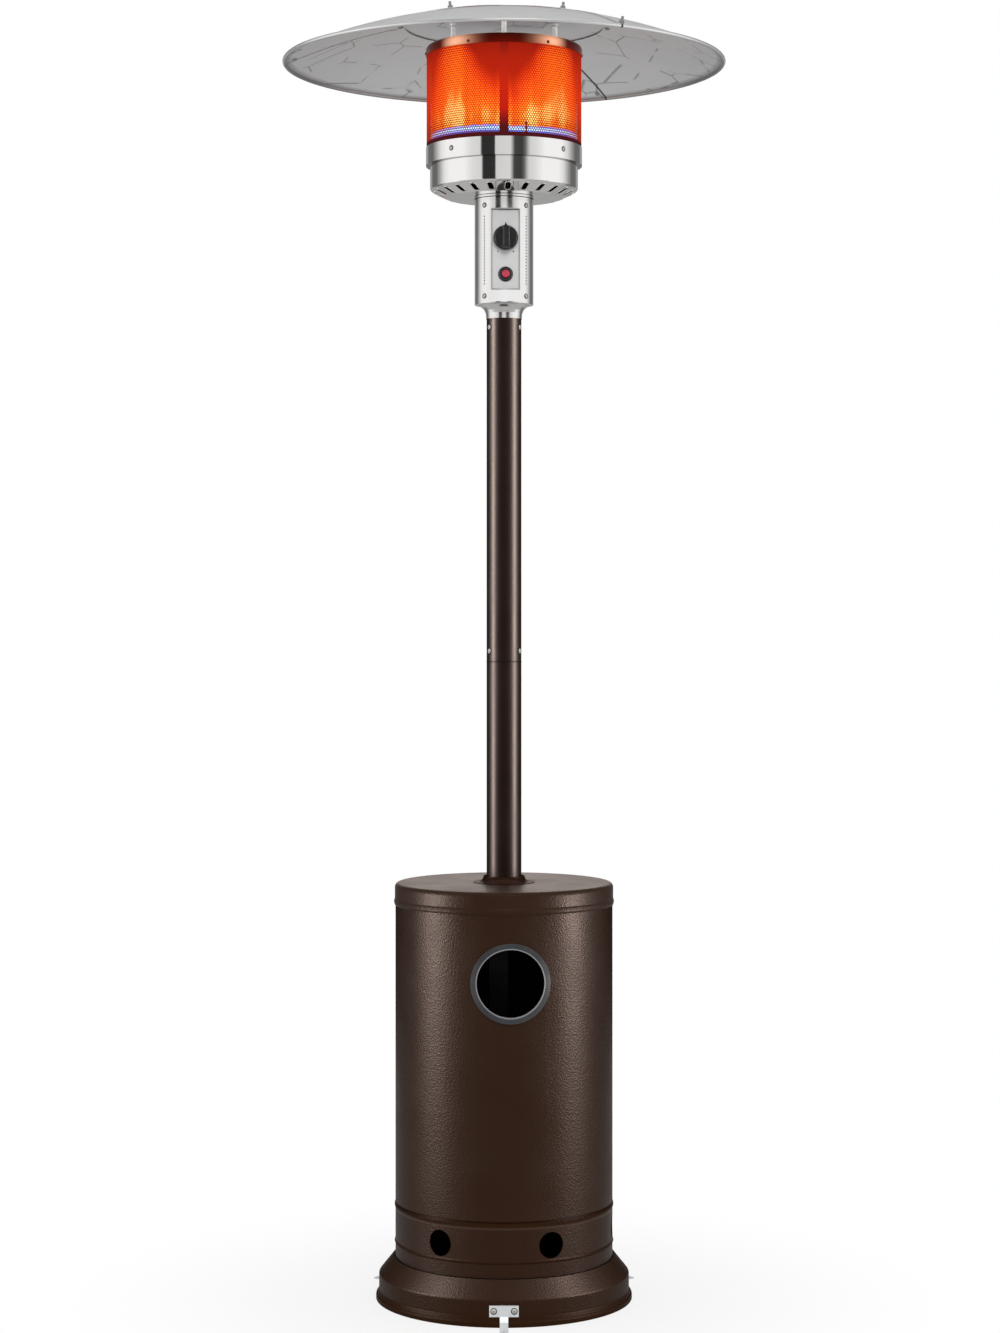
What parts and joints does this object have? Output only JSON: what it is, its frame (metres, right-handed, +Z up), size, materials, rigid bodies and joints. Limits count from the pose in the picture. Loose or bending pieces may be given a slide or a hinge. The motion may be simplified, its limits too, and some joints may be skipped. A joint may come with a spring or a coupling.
{
  "type": "gas patio heater",
  "caption": "Free-standing mushroom gas patio heater: round base, bottle housing that slides up the post, control head, glowing emitter screen and domed reflector.",
  "frame": {"origin": "centre of the base on the floor, on the post's axis", "axes": "+Z up along the post, -Y towards the front with the control panel, +X to the right as seen from the front"},
  "size_m": [0.8129, 0.813, 2.3531],
  "materials": {
    "brown_paint": "dark bronze paint, lightly hammered, glossy",
    "bracket_steel": "plain zinc-plated strip",
    "zinc_fasteners": "bright zinc",
    "frame_steel": "black paint, satin",
    "trim_grey": "satin grey",
    "stainless": "bright stainless",
    "polished_steel": "polished stainless",
    "panel_grey": "satin grey",
    "brass": "turned brass",
    "black_plastic": "fine moulded",
    "red_plastic": "gloss",
    "switch_plastic": "moulded",
    "burner_steel": "plain stainless",
    "probe_steel": "heat-tinted",
    "electrode_ceramic": "white glaze",
    "emitter_steel": "perforated steel at red heat",
    "heated_steel": "heat-tinted steel",
    "reflector_aluminium": "satin aluminium sheet"
  },
  "bodies": {
    "stand": {"base_pan": "brown_paint", "anchor_bracket_1": "bracket_steel", "anchor_bracket_2": "bracket_steel", "anchor_bracket_3": "bracket_steel", "anchor_screws": "zinc_fasteners", "support_leg_1": "frame_steel", "support_leg_2": "frame_steel", "support_leg_3": "frame_steel", "leg_foot_bolts": "zinc_fasteners", "leg_head_bolts": "zinc_fasteners", "top_plate": "frame_steel", "lower_post": "brown_paint", "flange_bolts": "zinc_fasteners", "upper_post": "brown_paint", "post_joint_screws": "zinc_fasteners", "neck_screws": "zinc_fasteners", "neck_collar": "stainless", "control_housing": "stainless", "control_housing_screws": "zinc_fasteners", "control_panel": "panel_grey", "gas_valve": "brass", "valve_screws": "zinc_fasteners", "gas_inlet": "brass", "injector": "brass", "igniter_barrel": "black_plastic", "igniter_bezel": "black_plastic", "tilt_switch": "switch_plastic", "burner_bowl": "polished_steel", "burner_support": "burner_steel", "venturi": "burner_steel", "burner_pan": "burner_steel", "burner_plate": "burner_steel", "burner_band": "polished_steel", "band_screws": "zinc_fasteners", "pilot_bracket": "burner_steel", "pilot_burner": "brass", "thermocouple": "probe_steel", "spark_electrode": "electrode_ceramic", "emitter_screen": "emitter_steel", "screen_cap": "heated_steel", "cap_screws": "heated_steel", "standoff_1": "polished_steel", "standoff_2": "polished_steel", "standoff_3": "polished_steel", "standoff_screws": "zinc_fasteners", "reflector_disc": "reflector_aluminium", "reflector_panel_1": "reflector_aluminium", "reflector_panel_2": "reflector_aluminium", "reflector_panel_3": "reflector_aluminium", "reflector_bolts": "zinc_fasteners", "reflector_nuts": "zinc_fasteners"},
    "housing": {"housing_shell": "brown_paint", "housing_lid": "brown_paint", "lid_collar": "brown_paint", "window_ring": "trim_grey"},
    "plug": {"valve_plug": "brass"},
    "knob": {"valve_stem": "stainless", "control_knob": "black_plastic"},
    "button": {"igniter_button": "red_plastic"}
  },
  "joints": [
    {"name": "housing_lift", "type": "slide", "parent": "stand", "child": "housing", "axis": [0, 0, 1], "range_m": [0, 1.03]},
    {"name": "knob_turn", "type": "hinge", "parent": "stand", "child": "plug", "pos_m": [0, -0.03, 1.94], "axis": [0, -1, 0], "range_deg": [0, 210]},
    {"name": "knob_push", "type": "slide", "parent": "plug", "child": "knob", "axis": [0, 1, 0], "range_m": [0, 0.004], "stiffness_N_per_m": 1500},
    {"name": "igniter_press", "type": "slide", "parent": "stand", "child": "button", "axis": [0, 1, 0], "range_m": [0, 0.006], "stiffness_N_per_m": 1500}
  ]
}
